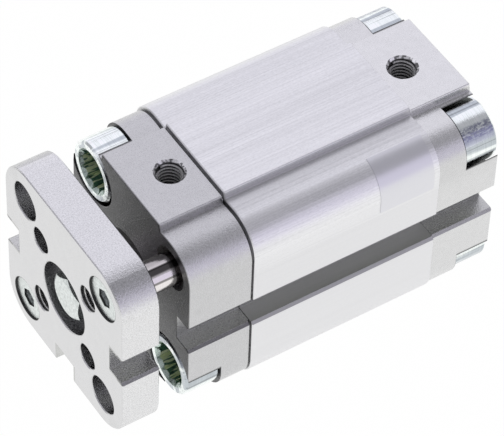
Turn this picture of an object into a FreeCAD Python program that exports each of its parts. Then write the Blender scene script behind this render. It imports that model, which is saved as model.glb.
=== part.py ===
"""Compact pneumatic cylinder with two guide rods and a yoke plate, in millimetres.

The origin is the centre of the rear mounting face. +X runs along the axis to the
yoke plate, +Z points to the side with the ports. The rod is drawn in.
"""
import FreeCAD, Part
import math
import os
from types import SimpleNamespace

import Sketcher

# Driving sizes: alias, value, meaning
SIZES = [
    ("stroke", 25, "travel of the piston rod"),
    ("bore", 25, "inner diameter of the barrel"),
    ("barrel_proud", 0.3, "how far the barrel stands out beyond the caps"),
    ("top_proud", 0.7, "how far the barrel's top stands out beyond the caps"),
    ("corner_radius", 6.3, "radius of the caps' long corners"),
    ("flat_rise", 1.25, "how much further out the raised flat is than the sides"),
    ("flat_edge", 0.3, "rounding along the raised flat"),
    ("riser_height", 1.5, "height of the raised flat over the valley beside it"),
    ("riser_lean", 0.25, "how far the riser leans outwards"),
    ("valley_width", 0.35, "floor of the valley beside the raised flat"),
    ("shoulder_width", 3.05, "width of the rounded shoulder beyond the valley"),
    ("lobe_drop", 1.35, "how far the upper corners lie below the raised flat"),
    ("slot_half", 2.95, "half the width of a sensor slot"),
    ("slot_wall", 3, "wall between the bore and a sensor slot"),
    ("slot_lip", 0.5, "bevel on both lips of a sensor slot"),
    ("end_cap_length", 13, "length of the rear cap"),
    ("bearing_cap_length", 13, "length of the front cap"),
    ("spigot_length", 1.5, "how far each cap enters the bore"),
    ("spigot_gap", 0.05, "radial gap round the caps' spigots"),
    ("seam_gap", 0.4, "width of the open seam behind the bearing cap"),
    ("seam_depth", 0.9, "depth of that seam"),
    ("edge_break", 0.2, "bevel on the outer edges of the end faces"),
    ("hole_break", 0.2, "bevel round the mouths of plain holes and pockets"),
    ("port_step", 5, "distance from the barrel to each port"),
    ("port_thread", 5, "thread diameter of the ports"),
    ("port_mouth", 5.9, "diameter of the ports' bevel"),
    ("passage_bore", 2.4, "diameter of the passage below a port"),
    ("passage_height", 3.85, "height of a port's thread over the air passage"),
    ("passage_link", 2, "diameter of the passage from there to the chamber"),
    ("passage_inset", 2.1, "distance from the bore's wall to the air passages"),
    ("screw_space", 0.5, "distance along each side from the bore to the collar screws"),
    ("screw_inset", 6.5, "distance from the collar screws to the caps' sides"),
    ("collar_head", 12, "diameter of the collar screws' heads"),
    ("collar_gap", 0.65, "radial gap round those heads in their pockets"),
    ("front_pocket", 6.9, "depth of the two front pockets"),
    ("rear_pocket", 7, "depth of the four rear pockets"),
    ("collar_shank", 7, "diameter of the collar screws' shanks"),
    ("collar_clearance", 0.2, "radial gap round a shank below its pocket"),
    ("collar_grip", 10, "length of a shank inside the barrel"),
    ("run_out", 1, "free bore beyond a shank or behind a guide rod"),
    ("thread_gap", 0.05, "radial gap round a screwed shank"),
    ("socket_bore", 7.6, "inner diameter of the splined sockets"),
    ("socket_spline", 0.7, "depth of the splines in those sockets"),
    ("socket_depth", 5.2, "depth of the splined sockets"),
    ("socket_lead", 0.7, "conical lead at the mouth of those sockets"),
    ("socket_bevel", 0.35, "bevel on the collar screws' edges and the rods' ends"),
    ("mount_thread", 5, "diameter of the mounting threads"),
    ("mount_depth", 7.5, "depth of the mounting threads below the sockets"),
    ("guide_offset", 0.3, "how much further out the guide rods are than the screws"),
    ("guide_rod", 6, "diameter of the guide rods"),
    ("guide_gap", 0.02, "radial gap between a rod and its bush"),
    ("guide_bush_wall", 1.25, "thickness of the guide rods' bushes"),
    ("guide_bush_length", 9, "length of the guide rods' bushes"),
    ("guide_bush_inset", 1.2, "depth of those bushes below the cap's face"),
    ("guide_clearance", 0.4, "radial gap round a guide rod behind its bush"),
    ("guide_tail", 3, "rod left behind its bush at full stroke"),
    ("rod", 10, "diameter of the piston rod"),
    ("rod_gap", 0.02, "radial gap between the piston rod and its bush"),
    ("rod_bush_wall", 1, "thickness of the piston rod's bush"),
    ("bush_floor", 1.5, "wall between the front bumper and the rod's bush"),
    ("rod_clearance", 0.4, "radial gap round the piston rod behind its bush"),
    ("rod_seal_wall", 3, "thickness of the piston rod's seal"),
    ("rod_seal_width", 3.2, "width of the piston rod's seal"),
    ("seal_gap", 0.02, "gap round fitted rings"),
    ("bumper_clearance", 1, "gap between the piston rod and the rubber bumpers"),
    ("bumper_wall", 2.75, "width of the rubber bumpers' section"),
    ("bumper_depth", 1.3, "depth of the bumpers' recesses"),
    ("bumper_proud", 0.3, "how far the bumpers stand out of the caps"),
    ("bumper_gap", 0.1, "gap left between bumper and piston"),
    ("face_seal_wall", 0.4, "wall between the bore and the end seals' grooves"),
    ("face_seal_width", 1.1, "width of the barrel's end seals"),
    ("face_seal_depth", 0.8, "depth of the grooves for the end seals"),
    ("piston_gap", 0.2, "radial gap round the bare piston"),
    ("piston_seal_height", 2.2, "distance from the bore to the seal grooves' floor"),
    ("piston_seal_width", 2, "width of the piston's seal grooves"),
    ("piston_seal_inset", 0.9, "wall between a seal groove and the piston's end"),
    ("piston_land", 0.75, "wall between a seal groove and the wear ring"),
    ("wear_ring_width", 2.4, "width of the piston's wear ring"),
    ("wear_ring_wall", 0.75, "thickness of the piston's wear ring"),
    ("wear_gap", 0.03, "radial gap between wear ring and bore"),
    ("magnet_cover", 3.2, "distance from the bore to the piston magnet"),
    ("magnet_wall", 3.1, "thickness of the piston magnet"),
    ("magnet_width", 2.6, "width of the piston magnet"),
    ("journal", 7, "diameter of the rod's end inside the piston"),
    ("journal_wall", 0.7, "wall between the rod's end and the screw's head"),
    ("piston_screw", 5, "thread diameter of the piston's screw"),
    ("piston_screw_head", 9.4, "head diameter of the piston's screw"),
    ("piston_screw_grip", 9, "length of the piston's screw in the rod"),
    ("piston_screw_across", 3, "width across flats of that screw's socket"),
    ("piston_screw_socket", 1.8, "depth of that screw's socket"),
    ("plate_gap", 6, "gap between bearing cap and yoke plate"),
    ("plate_thickness", 7.5, "thickness of the yoke plate"),
    ("plate_margin", 0.3, "how far the yoke plate stands out beyond the caps"),
    ("plate_corner", 7.4, "radius of the yoke plate's corners"),
    ("rod_seat", 1, "depth to which the rods sit in the yoke plate"),
    ("seat_gap", 0.03, "radial gap of the rods' seats in the yoke plate"),
    ("counterbore", 14, "diameter of the yoke plate's counterbore"),
    ("bolt_inset", 0.4, "depth of the bolt's head below the plate's face"),
    ("bolt_thread", 5, "thread diameter of the yoke bolt"),
    ("bolt_across", 8, "width across flats of the yoke bolt"),
    ("bolt_head", 3.5, "height of the yoke bolt's head"),
    ("bolt_bevel", 0.2, "how far inside its sides the bolt's head is bevelled"),
    ("bolt_grip", 12, "length of the yoke bolt in the piston rod"),
    ("bolt_clearance", 0.25, "radial gap round the yoke bolt in the plate"),
    ("access_bore", 7.5, "holes in line with the front collar screws"),
    ("pin_bore", 5, "plain holes beside the counterbore"),
    ("plate_thread", 5, "thread diameter of the plate's threaded holes"),
    ("plate_thread_mouth", 5.5, "bevel diameter of the plate's threaded holes"),
    ("hole_step", 5.2, "distance along each side from a corner hole to the next"),
    ("sunk_head", 8.3, "head diameter of the countersunk screws"),
    ("sunk_gap", 0.15, "radial gap round the countersunk heads"),
    ("sunk_inset", 0.4, "depth of the countersunk heads below the plate"),
    ("sunk_thread", 4, "thread diameter of the countersunk screws"),
    ("sunk_clearance", 0.2, "radial gap round a countersunk screw in the plate"),
    ("sunk_grip", 8, "length of a countersunk screw in its guide rod"),
    ("sunk_across", 3.4, "width across flats of the countersunk screws' sockets"),
    ("sunk_socket", 2, "depth of the countersunk screws' sockets"),
    ("label_start", 1.2, "distance from the end cap to the label"),
    ("label_length", 11.3, "length of the label along the barrel"),
    ("label_thickness", 0.08, "thickness of the label"),
    ("label_drop", 2.5, "how far the label reaches down the flat side"),
    ("label_lift", 0.01, "gap under the label"),
]

LABEL_TURN = math.radians(78)  # how far the label reaches round the upper corner

doc = FreeCAD.newDocument("compact_cylinder")


class Size:
    """A length that carries its number and the sheet expression it comes from."""

    def __init__(self, number, text):
        self.number = number
        self.text = text

    def combined(self, other, sign, number):
        return Size(number, f"({self.text} {sign} {as_size(other).text})")

    def __add__(self, other):
        return self.combined(other, "+", self.number + as_size(other).number)

    def __sub__(self, other):
        return self.combined(other, "-", self.number - as_size(other).number)

    def __mul__(self, other):
        return self.combined(other, "*", self.number * as_size(other).number)

    def __truediv__(self, other):
        return self.combined(other, "/", self.number / as_size(other).number)

    def __radd__(self, other):
        return as_size(other) + self

    def __rsub__(self, other):
        return as_size(other) - self

    def __rmul__(self, other):
        return as_size(other) * self

    def __neg__(self):
        return self * -1


def as_size(value):
    return value if isinstance(value, Size) else Size(float(value), f"{float(value):.6g}")


def make_sheet():
    """Write the sizes into a spreadsheet and return them by name."""
    sheet = doc.addObject("Spreadsheet::Sheet", "sizes")
    by_name = SimpleNamespace()
    for row, (alias, value, meaning) in enumerate(SIZES, start=1):
        sheet.set(f"A{row}", alias)
        sheet.set(f"B{row}", str(value))
        sheet.set(f"C{row}", meaning)
        sheet.setAlias(f"B{row}", alias)
        setattr(by_name, alias, Size(float(value), f"sizes.{alias}"))
    doc.recompute()
    return by_name


d = make_sheet()

# Distances from the axis
bore_radius = d.bore / 2
rod_radius = d.rod / 2
guide_radius = d.guide_rod / 2
screw_half = bore_radius + d.screw_space
cap_half = screw_half + d.screw_inset
cap_top = cap_half + d.flat_rise
barrel_top = cap_top + d.top_proud
guide_half = screw_half + d.guide_offset
plate_half = cap_half + d.plate_margin
passage_radius = bore_radius - d.passage_inset
bumper_inner = rod_radius + d.bumper_clearance
bumper_outer = bumper_inner + d.bumper_wall
magnet_outer = bore_radius - d.magnet_cover
magnet_inner = magnet_outer - d.magnet_wall
seal_root = bore_radius - d.piston_seal_height
FRONT_SCREWS = [(-screw_half, screw_half), (screw_half, -screw_half)]
GUIDE_SIDE_SCREWS = [(screw_half, screw_half), (-screw_half, -screw_half)]
REAR_SCREWS = FRONT_SCREWS + GUIDE_SIDE_SCREWS
GUIDES = [(guide_half, guide_half), (-guide_half, -guide_half)]

# Stations along the axis
piston_length = (2 * (d.piston_seal_inset + d.piston_seal_width + d.piston_land)
                 + d.wear_ring_width)
barrel_length = d.stroke + piston_length + 2 * (d.spigot_length + d.bumper_proud + d.bumper_gap)
barrel_rear = d.end_cap_length
barrel_front = barrel_rear + barrel_length
body_front = barrel_front + d.bearing_cap_length
plate_rear = body_front + d.plate_gap
plate_front = plate_rear + d.plate_thickness
rod_front = plate_rear + d.rod_seat
seal_seat = body_front - d.rod_seal_width
bush_seat = barrel_front - d.spigot_length + d.bumper_depth + d.bush_floor
piston_rear = barrel_rear + d.spigot_length + d.bumper_proud + d.bumper_gap
piston_middle = piston_rear + piston_length / 2
piston_front = piston_rear + piston_length
rod_rear = piston_rear + (d.piston_screw_head - d.piston_screw) / 2 + d.journal_wall
guide_bush_rear = body_front - d.guide_bush_inset - d.guide_bush_length
guide_rear = guide_bush_rear - d.stroke - d.guide_tail


def bind(feature, path, size):
    feature.setExpression(path, as_size(size).text)


def new_body(label):
    body = doc.addObject("PartDesign::Body", label)
    body.Label = label
    return body


def origin_feature(body, role):
    return next(item for item in body.Origin.OriginFeatures if item.Role == role)


def new_sketch(body, role, x=0, y=0, z=0):
    """A sketch on one of the body's own planes, shifted within and off that plane."""
    sketch = body.newObject("Sketcher::SketchObject", f"{body.Label}_sketch")
    sketch.AttachmentSupport = [(origin_feature(body, role), "")]
    sketch.MapMode = "FlatFace"
    for axis, size in (("x", x), ("y", y), ("z", z)):
        if isinstance(size, Size):
            bind(sketch, f".AttachmentOffset.Base.{axis}", size)
    return sketch


def lengthwise_sketch(body, y=0, z=0):
    """A sketch whose first axis is a line along +X through (y, z)."""
    return new_sketch(body, "XZ_Plane", y=z, z=-y if isinstance(y, Size) else 0)


def cross_sketch(body, x=0):
    """A sketch across the axis at the station x, with +Y to its right and +Z up."""
    return new_sketch(body, "YZ_Plane", z=x)


def constrain(sketch, kind, *where, size):
    """Add a dimension and tie it to the sheet."""
    index = sketch.addConstraint(Sketcher.Constraint(kind, *where, as_size(size).number))
    if isinstance(size, Size):
        bind(sketch, f"Constraints[{index}]", size)


def arc_between(start, end, radius):
    """The short arc from start to end, to the left for a positive radius."""
    middle = (start + end) * 0.5
    chord = end - start
    reach = math.sqrt(max(radius ** 2 - (chord.Length / 2) ** 2, 0))
    aside = FreeCAD.Vector(-chord.y, chord.x, 0).normalize()
    centre = middle + aside * math.copysign(reach, radius)
    first, last = (start, end) if radius > 0 else (end, start)
    angles = [math.atan2(point.y - centre.y, point.x - centre.x) for point in (first, last)]
    circle = Part.Circle(centre, FreeCAD.Vector(0, 0, 1), abs(radius))
    return Part.ArcOfCircle(circle, *angles)


def draw(sketch, outline):
    """Draw a closed loop. An entry is (x, y) or (x, y, radius of the arc that leaves it)."""
    entries = [(entry + (None,))[:3] for entry in outline]
    corners = [FreeCAD.Vector(as_size(x).number, as_size(y).number, 0) for x, y, _ in entries]
    ends = []
    for index, (x, y, radius) in enumerate(entries):
        start, end = corners[index], corners[(index + 1) % len(corners)]
        if radius is None:
            edge = sketch.addGeometry(Part.LineSegment(start, end), False)
            ends.append((edge, 1, 2))
        else:
            edge = sketch.addGeometry(arc_between(start, end, radius.number), False)
            ends.append((edge, 1, 2) if radius.number > 0 else (edge, 2, 1))
            constrain(sketch, "Radius", edge, size=radius if radius.number > 0 else -radius)
    for index, (x, y, _) in enumerate(entries):
        edge, first, _ = ends[index]
        before, _, last = ends[index - 1]
        sketch.addConstraint(Sketcher.Constraint("Coincident", before, last, edge, first))
        constrain(sketch, "DistanceX", -1, 1, edge, first, size=x)
        constrain(sketch, "DistanceY", -1, 1, edge, first, size=y)


def draw_circle(sketch, y, z, diameter):
    centre = FreeCAD.Vector(as_size(y).number, as_size(z).number, 0)
    circle = Part.Circle(centre, FreeCAD.Vector(0, 0, 1), diameter.number / 2)
    edge = sketch.addGeometry(circle, False)
    constrain(sketch, "DistanceX", -1, 1, edge, 3, size=y)
    constrain(sketch, "DistanceY", -1, 1, edge, 3, size=z)
    constrain(sketch, "Radius", edge, size=diameter / 2)


def draw_hexagon(sketch, across):
    """A hexagon about the sketch's origin with two corners on the second axis."""
    corner = across / math.sqrt(3)
    side = across / 2
    draw(sketch, [(0, corner), (-side, corner / 2), (-side, -corner / 2),
                  (0, -corner), (side, -corner / 2), (side, corner / 2)])


def pad(body, sketch, length):
    """Raise a sketch along its normal."""
    feature = body.newObject("PartDesign::Pad", f"{body.Label}_pad")
    feature.Profile = sketch
    bind(feature, "Length", length)
    doc.recompute()
    return feature


def cut_checked(body, feature, before):
    doc.recompute()
    if body.Shape.Volume > before - 1e-6:
        raise ValueError(f"{feature.Name} cuts nothing")
    return feature


def pocket(body, sketch, depth, forward=False):
    """Cut a sketch out, against its normal or, if forward, along it."""
    before = body.Shape.Volume
    feature = body.newObject("PartDesign::Pocket", f"{body.Label}_pocket")
    feature.Profile = sketch
    feature.Reversed = forward
    bind(feature, "Length", depth)
    return cut_checked(body, feature, before)


def turn(body, sketch, axis="H_Axis"):
    """Revolve a sketch about one of its own axes."""
    feature = body.newObject("PartDesign::Revolution", f"{body.Label}_turned")
    feature.Profile = sketch
    feature.ReferenceAxis = (sketch, [axis])
    feature.Angle = 360
    doc.recompute()
    return feature


def bore(body, sketch, axis="H_Axis"):
    """Cut a sketch revolved about one of its own axes."""
    before = body.Shape.Volume
    feature = body.newObject("PartDesign::Groove", f"{body.Label}_bore")
    feature.Profile = sketch
    feature.ReferenceAxis = (sketch, [axis])
    feature.Angle = 360
    return cut_checked(body, feature, before)


def pattern(body, feature, count, angle):
    """Repeat a cut round the X axis."""
    repeated = body.newObject("PartDesign::PolarPattern", f"{body.Label}_pattern")
    repeated.Originals = [feature]
    repeated.Axis = (origin_feature(body, "X_Axis"), [""])
    repeated.Angle = angle
    repeated.Occurrences = count
    body.Tip = repeated
    doc.recompute()
    return repeated


def bevel_end(body, station, size):
    """Bevel the outer edges of the flat end at a station along X."""
    shape = body.Shape
    faces = [face for face in shape.Faces
             if face.BoundBox.XLength < 1e-6 and abs(face.BoundBox.XMin - station.number) < 1e-6]
    end = max(faces, key=lambda face: face.Area)
    names = [f"Edge{number}" for number, edge in enumerate(shape.Edges, start=1)
             if any(edge.isSame(outer) for outer in end.OuterWire.Edges)]
    base = body.Tip
    feature = body.newObject("PartDesign::Chamfer", f"{body.Label}_bevel")
    feature.Base = (base, names)
    bind(feature, "Size", size)
    doc.recompute()
    return feature


def mirrored(half):
    """An outline's right half followed by the same half on the left."""
    arcs = [None] + [(entry + (None,))[2] for entry in half]
    left = [(-half[index][0], half[index][1], arcs[index]) for index in reversed(range(len(half)))]
    return half + left


def body_outline(top, grow=0):
    """The body's section: round corners and a raised flat with a valley on each side."""
    half = cap_half + grow
    radius = d.corner_radius + grow
    crown = top - d.lobe_drop
    valley = top - d.riser_height
    valley_outer = half - radius - d.shoulder_width
    valley_inner = valley_outer - d.valley_width
    flat_half = valley_inner - d.riser_lean
    rise = crown - valley
    shoulder = (d.shoulder_width * d.shoulder_width + rise * rise) / (2 * rise)
    return mirrored([
        (half - radius, -half, radius),
        (half, radius - half),
        (half, crown - radius, radius),
        (half - radius, crown, shoulder),
        (valley_outer, valley),
        (valley_inner, valley),
        (flat_half, top - d.flat_edge, d.flat_edge),
        (flat_half - d.flat_edge, top)])


def cut_slots(body, half, length, station):
    """Cut the three sensor slots: left, bottom and right."""
    sketch = cross_sketch(body, station)
    floor = -(bore_radius + d.slot_wall)
    over = d.slot_half + d.slot_lip
    draw(sketch, [(floor, -d.slot_half), (floor, d.slot_half), (d.slot_lip - half, d.slot_half),
                  (-half, over), (-half - d.slot_lip, over), (-half - d.slot_lip, -over),
                  (-half, -over), (d.slot_lip - half, -d.slot_half)])
    slot = pocket(body, sketch, length, forward=True)
    pattern(body, slot, 3, 180)


def bore_at(body, y, z, outline):
    """Bore a stepped hole along X through (y, z). The outline lists (station, radius)."""
    sketch = lengthwise_sketch(body, y, z)
    draw(sketch, [(outline[0][0], 0)] + outline + [(outline[-1][0], 0)])
    return bore(body, sketch)


def ring(label, outline):
    """A body turned about the cylinder's axis from (station, radius) corners."""
    body = new_body(label)
    sketch = lengthwise_sketch(body)
    draw(sketch, outline)
    turn(body, sketch)
    return body


def plain_ring(label, start, length, inner, outer):
    """A ring of rectangular section, with its radii given."""
    end = start + length
    return ring(label, [(start, inner), (end, inner), (end, outer), (start, outer)])


def cut_air_way(body, port, chamber):
    """Cut a port from the top and the passage from it to the cylinder chamber."""
    top = cap_top
    sketch = new_sketch(body, "XZ_Plane", x=port)
    wide, narrow, slim = d.port_mouth / 2, d.port_thread / 2, d.passage_bore / 2
    thread_end = passage_radius + d.passage_height
    foot = passage_radius - slim
    draw(sketch, [(0, top), (wide, top), (narrow, top - wide + narrow), (narrow, thread_end),
                  (slim, thread_end - narrow + slim), (slim, foot), (0, foot)])
    bore(body, sketch, "V_Axis")
    link = d.passage_link / 2
    bore_at(body, 0, passage_radius, [(port, link), (chamber, link)])


def make_barrel():
    """The extruded tube with its raised flat, slots, corner bores and polished bore."""
    body = new_body("barrel")
    half = cap_half + d.barrel_proud
    sketch = cross_sketch(body, barrel_rear)
    draw(sketch, body_outline(barrel_top, d.barrel_proud))
    pad(body, sketch, barrel_length)
    bevel_end(body, barrel_front, d.edge_break)
    cut_slots(body, half, barrel_length, barrel_rear)
    tapped = d.collar_shank + 2 * d.thread_gap
    through = cross_sketch(body, barrel_rear)
    draw_circle(through, 0, 0, d.bore)
    for y, z in FRONT_SCREWS:
        draw_circle(through, y, z, tapped)
    pocket(body, through, barrel_length, forward=True)
    blind = cross_sketch(body, barrel_rear)
    for y, z in GUIDE_SIDE_SCREWS:
        draw_circle(blind, y, z, tapped)
    pocket(body, blind, d.collar_grip + d.run_out, forward=True)
    guides = cross_sketch(body, barrel_front)
    for y, z in GUIDES:
        draw_circle(guides, y, z, d.guide_rod + 2 * d.guide_clearance)
    pocket(body, guides, barrel_front - guide_rear + d.run_out)
    return body


def cut_collar_seats(body, places, face, inner, depth, hole_end):
    """Pockets for the collar screws from a face, with a hole for each shank."""
    radius = d.collar_head / 2 + d.collar_gap
    hole = d.collar_shank / 2 + d.collar_clearance
    seat = face + depth * inner
    for y, z in places:
        bore_at(body, y, z, [(face, radius + d.hole_break), (face + d.hole_break * inner, radius),
                             (seat, radius), (seat, hole), (hole_end, hole)])


def cut_chamber_side(body, face, inward):
    """The end seal's groove and the bumper's recess in a cap's inner side."""
    inner = bore_radius + d.face_seal_wall
    outer = inner + d.face_seal_width
    depth = face + d.face_seal_depth * inward
    sketch = lengthwise_sketch(body)
    draw(sketch, [(face, inner), (depth, inner), (depth, outer), (face, outer)])
    bore(body, sketch)
    spigot_face = face - d.spigot_length * inward
    recess = bumper_outer + d.seal_gap
    bore_at(body, 0, 0, [(spigot_face, recess), (spigot_face + d.bumper_depth * inward, recess)])


def make_bearing_cap():
    """The front cap: spigot, open seam, bush and seal seats, guide bores and port."""
    body = new_body("bearing_cap")
    spigot = cross_sketch(body, barrel_front - d.spigot_length)
    draw_circle(spigot, 0, 0, d.bore - 2 * d.spigot_gap)
    pad(body, spigot, d.spigot_length)
    land = cross_sketch(body, barrel_front)
    draw(land, body_outline(cap_top - d.seam_depth, -d.seam_depth))
    pad(body, land, d.seam_gap)
    main = cross_sketch(body, barrel_front + d.seam_gap)
    draw(main, body_outline(cap_top))
    pad(body, main, d.bearing_cap_length - d.seam_gap)
    bevel_end(body, body_front, d.edge_break)
    cut_slots(body, cap_half, d.bearing_cap_length, barrel_front)
    cut_collar_seats(body, FRONT_SCREWS, body_front, -1, d.front_pocket, barrel_front)
    bush = guide_radius + d.guide_bush_wall
    hole = guide_radius + d.guide_clearance
    for y, z in GUIDES:
        bore_at(body, y, z, [(body_front, bush), (guide_bush_rear, bush),
                             (guide_bush_rear, hole), (barrel_front, hole)])
    cut_chamber_side(body, barrel_front, 1)
    seal = rod_radius + d.rod_seal_wall
    bush = rod_radius + d.rod_bush_wall
    hole = rod_radius + d.rod_clearance
    bore_at(body, 0, 0, [(body_front, seal), (seal_seat, seal), (seal_seat, bush),
                         (bush_seat, bush), (bush_seat, hole),
                         (barrel_front - d.spigot_length, hole)])
    cut_air_way(body, barrel_front + d.port_step, barrel_front - d.spigot_length)
    return body


def make_end_cap():
    """The rear cap: spigot, four screw pockets, bumper recess and port."""
    body = new_body("end_cap")
    main = cross_sketch(body)
    draw(main, body_outline(cap_top))
    pad(body, main, d.end_cap_length)
    bevel_end(body, as_size(0), d.edge_break)
    spigot = cross_sketch(body, d.end_cap_length)
    draw_circle(spigot, 0, 0, d.bore - 2 * d.spigot_gap)
    pad(body, spigot, d.spigot_length)
    cut_slots(body, cap_half, d.end_cap_length, 0)
    cut_collar_seats(body, REAR_SCREWS, as_size(0), 1, d.rear_pocket, barrel_rear)
    cut_chamber_side(body, barrel_rear, -1)
    cut_air_way(body, barrel_rear - d.port_step, barrel_rear + d.spigot_length)
    return body


def make_collar_screw(label, head_length, floor):
    """A collar screw with its outer face at x = 0 and its shank towards -X."""
    body = new_body(label)
    head = d.collar_head / 2
    shank = d.collar_shank / 2
    length = head_length + floor + d.collar_grip
    sketch = lengthwise_sketch(body)
    draw(sketch, [(0, 0), (0, head - d.socket_bevel), (-d.socket_bevel, head),
                  (d.socket_bevel - head_length, head), (-head_length, head - d.socket_bevel),
                  (-head_length, shank),
                  (-length + d.socket_bevel, shank), (-length, shank - d.socket_bevel), (-length, 0)])
    turn(body, sketch)
    inner = d.socket_bore / 2
    thread = d.mount_thread / 2
    thread_end = -d.socket_depth - d.mount_depth
    bore_at(body, 0, 0, [(as_size(0), inner + d.socket_lead), (-d.socket_lead, inner),
                         (-d.socket_depth, inner), (-d.socket_depth, thread),
                         (thread_end, thread)])
    tip = cross_sketch(body)
    reach = inner + d.socket_spline
    foot = inner - d.socket_bevel
    spread = (reach - foot) * 0.8
    draw(tip, [(foot, -spread), (reach, 0), (foot, spread)])
    notch = pocket(body, tip, d.socket_depth)
    pattern(body, notch, 12, 360)
    return body


def group(label, pattern_body, places, turned=False):
    """Separate copies of one body at several places, as one sub-part."""
    copies = []
    turn_over = FreeCAD.Rotation(FreeCAD.Vector(0, 0, 1), 180 if turned else 0)
    for x, y, z in places:
        copy = pattern_body.Shape.copy()
        at = FreeCAD.Vector(*(as_size(value).number for value in (x, y, z)))
        copy.Placement = FreeCAD.Placement(at, turn_over) * copy.Placement
        copies.append(copy)
    feature = doc.addObject("Part::Feature", label)
    feature.Label = label
    feature.Shape = Part.makeCompound(copies)
    feature.Placement = FreeCAD.Placement()
    return feature


def make_collar_screws():
    front_floor = d.bearing_cap_length - d.front_pocket
    front = make_collar_screw("front_collar_screw", d.front_pocket, front_floor)
    rear_floor = d.end_cap_length - d.rear_pocket
    rear = make_collar_screw("rear_collar_screw", d.rear_pocket, rear_floor)
    return [group("front_collar_screws", front, [(body_front, y, z) for y, z in FRONT_SCREWS]),
            group("rear_collar_screws", rear, [(0, y, z) for y, z in REAR_SCREWS], turned=True)]


def make_cap_fittings():
    """Seals, bumpers, bushes and the rod seal that the caps hold."""
    seal_inner = bore_radius + d.face_seal_wall + d.seal_gap
    seal_outer = seal_inner + d.face_seal_width - 2 * d.seal_gap
    seal_length = d.face_seal_depth - d.seal_gap
    bumper_length = d.bumper_depth + d.bumper_proud
    rear_bumper = barrel_rear + d.spigot_length - d.bumper_depth
    front_bumper = barrel_front - d.spigot_length - d.bumper_proud
    rod_hole = rod_radius + d.rod_gap
    bush_outer = rod_radius + d.rod_bush_wall - d.seal_gap / 2
    made = [
        plain_ring("rear_cap_seal", barrel_rear - seal_length, seal_length, seal_inner, seal_outer),
        plain_ring("front_cap_seal", barrel_front, seal_length, seal_inner, seal_outer),
        plain_ring("rear_bumper", rear_bumper, bumper_length, bumper_inner, bumper_outer),
        plain_ring("front_bumper", front_bumper, bumper_length, bumper_inner, bumper_outer),
        plain_ring("rod_bush", bush_seat, seal_seat - bush_seat, rod_hole, bush_outer)]
    lip = d.rod_seal_width / 3
    outer = rod_radius + d.rod_seal_wall - d.seal_gap
    made.append(ring("rod_seal", [
        (seal_seat, rod_hole), (seal_seat + lip, rod_hole), (seal_seat + lip, outer - lip),
        (body_front - lip, outer - lip), (body_front, rod_hole), (body_front, outer),
        (seal_seat, outer)]))
    return made


def make_guide_bush(label, y, z):
    body = new_body(label)
    start = guide_bush_rear
    end = start + d.guide_bush_length
    inner = guide_radius + d.guide_gap
    outer = guide_radius + d.guide_bush_wall - d.seal_gap / 2
    sketch = lengthwise_sketch(body, y, z)
    draw(sketch, [(start, inner), (end, inner), (end, outer), (start, outer)])
    turn(body, sketch)
    return body


def make_guide_rod(label, y, z):
    """A polished rod, seated in the yoke plate, tapped for its countersunk screw."""
    body = new_body(label)
    sketch = lengthwise_sketch(body, y, z)
    draw(sketch, [(guide_rear, 0), (guide_rear, guide_radius - d.socket_bevel),
                  (guide_rear + d.socket_bevel, guide_radius), (rod_front, guide_radius),
                  (rod_front, 0)])
    turn(body, sketch)
    tap = d.sunk_thread / 2 + d.thread_gap
    bore_at(body, y, z, [(rod_front - d.sunk_grip - d.thread_gap, tap), (rod_front, tap)])
    return body


def make_piston_rod():
    """The piston rod with its journal, tapped at both ends."""
    body = new_body("piston_rod")
    journal = d.journal / 2
    sketch = lengthwise_sketch(body)
    draw(sketch, [(rod_rear, 0), (rod_rear, journal), (piston_front, journal),
                  (piston_front, rod_radius), (rod_front, rod_radius), (rod_front, 0)])
    turn(body, sketch)
    bolt = d.bolt_thread / 2 + d.thread_gap
    bore_at(body, 0, 0, [(rod_front - d.bolt_grip - d.thread_gap, bolt), (rod_front, bolt)])
    screw = d.piston_screw / 2 + d.thread_gap
    screw_end = rod_rear + d.piston_screw_grip + d.thread_gap
    bore_at(body, 0, 0, [(rod_rear, screw), (screw_end, screw)])
    return body


def make_sunk_screw(label, head, thread, length, across, socket_depth):
    """A countersunk screw with its head's face at x = 0 and its shank towards -X."""
    body = new_body(label)
    flank = (head - thread) / 2
    sketch = lengthwise_sketch(body)
    draw(sketch, [(0, 0), (0, head / 2), (-flank, thread / 2), (-length, thread / 2), (-length, 0)])
    turn(body, sketch)
    socket = cross_sketch(body)
    draw_hexagon(socket, across)
    pocket(body, socket, socket_depth)
    return body


def make_piston_half(label, end, inward, hub):
    """One half of the piston. The hub lists its inner corners from the joint to its end."""
    outer = bore_radius - d.piston_gap
    groove = end + d.piston_seal_inset * inward
    groove_end = groove + d.piston_seal_width * inward
    seat_inner = magnet_inner - d.seal_gap
    seat_outer = magnet_outer + d.seal_gap
    magnet_seat = piston_middle - (d.magnet_width / 2 + d.seal_gap) * inward
    wear_seat = piston_middle - (d.wear_ring_width / 2 + d.seal_gap) * inward
    wear_root = bore_radius - d.wear_gap - d.wear_ring_wall - d.seal_gap
    return ring(label, hub + [
        (end, outer), (groove, outer), (groove, seal_root), (groove_end, seal_root),
        (groove_end, outer), (wear_seat, outer), (wear_seat, wear_root),
        (piston_middle, wear_root), (piston_middle, seat_outer), (magnet_seat, seat_outer),
        (magnet_seat, seat_inner), (piston_middle, seat_inner)])


def make_piston_seal(label, end, inward):
    """A lip seal whose open side faces the chamber at that end of the piston."""
    start = end + (d.piston_seal_inset + d.seal_gap) * inward
    heel = start + (d.piston_seal_width - 2 * d.seal_gap) * inward
    inner = seal_root + d.seal_gap
    outer = bore_radius - d.seal_gap
    lip = d.piston_seal_width / 3
    return ring(label, [
        (heel, inner), (heel, outer - lip / 2), (start, outer), (start, outer - lip),
        (heel - lip * inward, (inner + outer) / 2), (start, inner + lip), (start, inner)])


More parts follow.
